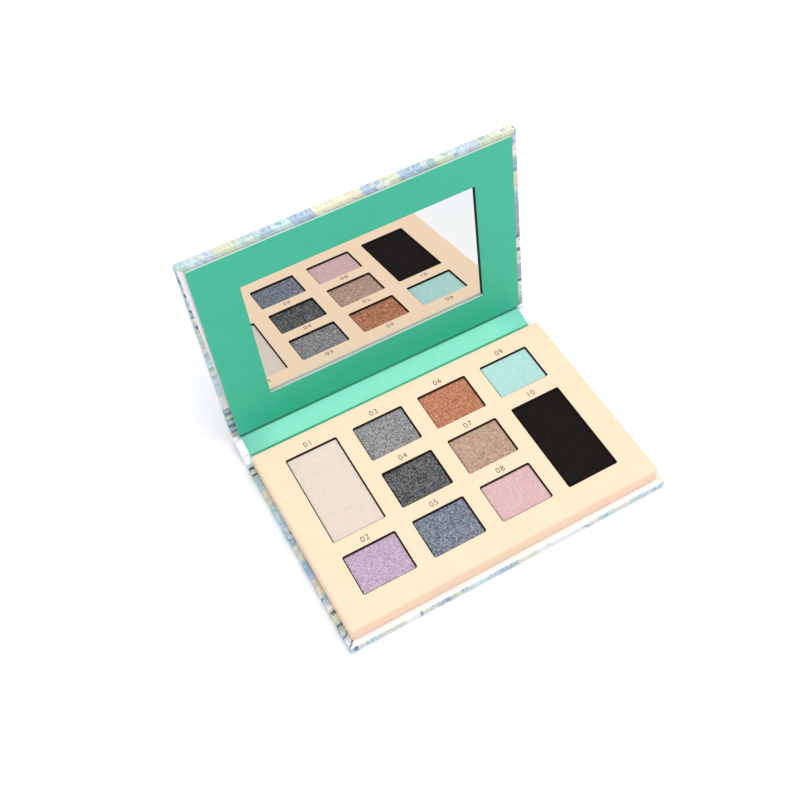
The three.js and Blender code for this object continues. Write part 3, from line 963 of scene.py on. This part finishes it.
def lid_card():
    """Card frame. Its sides reach down to the wrap, but for the hinge side, where the liner
    passes under it, and its window reaches down to the mirror."""
    rect = (-CARD_HALF, CARD_START, CARD_HALF, CARD_END)
    hole = (-WINDOW_HALF, WINDOW_START, WINDOW_HALF, WINDOW_END)
    build = Build()
    edge = [(1.0, CARD_TOP), (CARD_ARRIS + 0.1, CARD_TOP)]
    edge += [(across, CARD_TOP - down) for across, down in quarter(CARD_ARRIS, 3)]
    outer = edge + [(0.0, CARD_FOOT), (0.25, CARD_FOOT), (0.3, CARD_BOTTOM), (0.6, CARD_BOTTOM)]
    outer_slots = [0] * 5 + [1] * (len(outer) - 6)
    loops = []
    for by, z in outer:
        points = inset(rect, 0.5, by, z, 4)
        loops.append(build.loop([(x, y, max(z, CARD_BOTTOM) if y < CARD_START + 1.5 else z)
                                 for x, y, z in points]))
    build.loft(loops, outer_slots, flip=True)
    inner = [build.loop(inset(hole, 0.3, -by, z, 4)) for by, z in outer]
    build.loft(inner, outer_slots)
    build.fill([loops[0], inner[0]], True, 0)
    build.fill([loops[-1], inner[-1]], False, 1)
    for i, ids in enumerate(build.faces):
        middle = sum((build.points[j] for j in ids), Vector()) / len(ids)
        # side walls of the mirror window take the dark edge as painted shade; its top and bottom
        # walls keep the pale cut edge
        if build.slots[i] == 1 and abs(abs(middle.x) - WINDOW_HALF) < 0.05:
            build.slots[i] = 2
        elif middle.y < CARD_START + 0.2:
            build.slots[i] = 0
    return build.make("lid_card_frame", LID, [green_paper, card_edge, dark_edge_painted_shade], "lid",
                      ["lid_card"])


def mirror():
    rect = (-MIRROR_HALF, MIRROR_START, MIRROR_HALF, MIRROR_END)
    build = Build()
    rows = [(0.5, MIRROR_BACK), (0.0, MIRROR_BACK), (0.0, MIRROR_PLANE - 0.1), (0.1, MIRROR_PLANE),
            (0.6, MIRROR_PLANE)]
    loops = [build.loop(inset(rect, 0.3, by, z, 3)) for by, z in rows]
    build.loft(loops)
    build.fill([loops[0]], False)
    build.fill([loops[-1]], True)
    return build.make("mirror_plate", LID, [silver], "lid", ["mirror"])


lid_card()
mirror()


# ---- Frame pieces that stay ---------------------------------------------------------------

def finish_node(name, material):
    mesh = frame["nodes"][name].data
    mesh.materials.clear()
    mesh.materials.append(material)


for name in ("base_board", "spine_board", "lid_board", "lid_mirror_board"):
    finish_node(name, grey_board)
finish_node("tray_core", core_foam)
for name in ("tray_adhesive_sheet", "mirror_adhesive_sheet", "card_adhesive_sheet",
             *("pan_adhesive_" + shade for shade in SHADES)):
    finish_node(name, tape)
for part in ("tray", "lid"):
    for side in ("left", "right"):
        finish_node("%s_magnet_%s" % (part, side), magnet_nickel)


# ---- Studio -------------------------------------------------------------------------------

def floor():
    s = Surface("studio_floor", Roughness=0.9, Specular_IOR_Level=0.1)
    cloud = s.noise(s.place(), 400, 2)
    s.to("Base Color", s.mix(cloud, rgb("fbfbfc"), rgb("f7f7f9")))
    mesh = bpy.data.meshes.new("floor")
    r = 6.0
    mesh.from_pydata([(-r, -r, 0), (r, -r, 0), (r, r, 0), (-r, r, 0)], [], [(0, 1, 2, 3)])
    mesh.materials.append(s.material)
    piece = bpy.data.objects.new("floor", mesh)
    piece.location.z = -0.0001
    bpy.context.scene.collection.objects.link(piece)


def lamp(name, location, target, size, energy):
    data = bpy.data.lights.new(name, "AREA")
    data.shape = "DISK"
    data.size = size
    data.energy = energy
    light = bpy.data.objects.new(name, data)
    light.location = location
    light.rotation_euler = (Vector(target) - Vector(location)).to_track_quat("-Z", "Y").to_euler()
    bpy.context.scene.collection.objects.link(light)


KEY_PLACE = (0.14, -0.12, 1.25)
KEY_SIZE = 1.45
KEY_ENERGY = 12.2
SKY = (0.97, 0.98, 1.0, 1)
SKY_STRENGTH = 0.66
CAMERA_PLACE = (-0.12653, -0.21346, 0.41503)
HEADING = math.radians(25.85)   # clockwise from +Y
ELEVATION = math.radians(55.0)
ROLL = math.radians(-3.88)
LENS = 49.02
SENSOR = 36.0

floor()
scene = bpy.context.scene
world = bpy.data.worlds.new("studio")
world.use_nodes = True
background = world.node_tree.nodes["Background"]
background.inputs["Color"].default_value = SKY
background.inputs["Strength"].default_value = SKY_STRENGTH
scene.world = world
lamp("key", KEY_PLACE, (0, 0, 0.02), KEY_SIZE, KEY_ENERGY)
scene.view_settings.view_transform = "Standard"
scene.view_settings.look = "None"

camera = bpy.data.objects.new("camera", bpy.data.cameras.new("camera"))
scene.collection.objects.link(camera)
camera.data.lens = LENS
camera.data.sensor_width = SENSOR
camera.data.clip_start = 0.01
camera.matrix_world = (Matrix.Translation(CAMERA_PLACE)
                       @ Matrix.Rotation(-HEADING, 4, "Z")
                       @ Matrix.Rotation(math.pi / 2 - ELEVATION, 4, "X")
                       @ Matrix.Rotation(ROLL, 4, "Z"))
scene.camera = camera
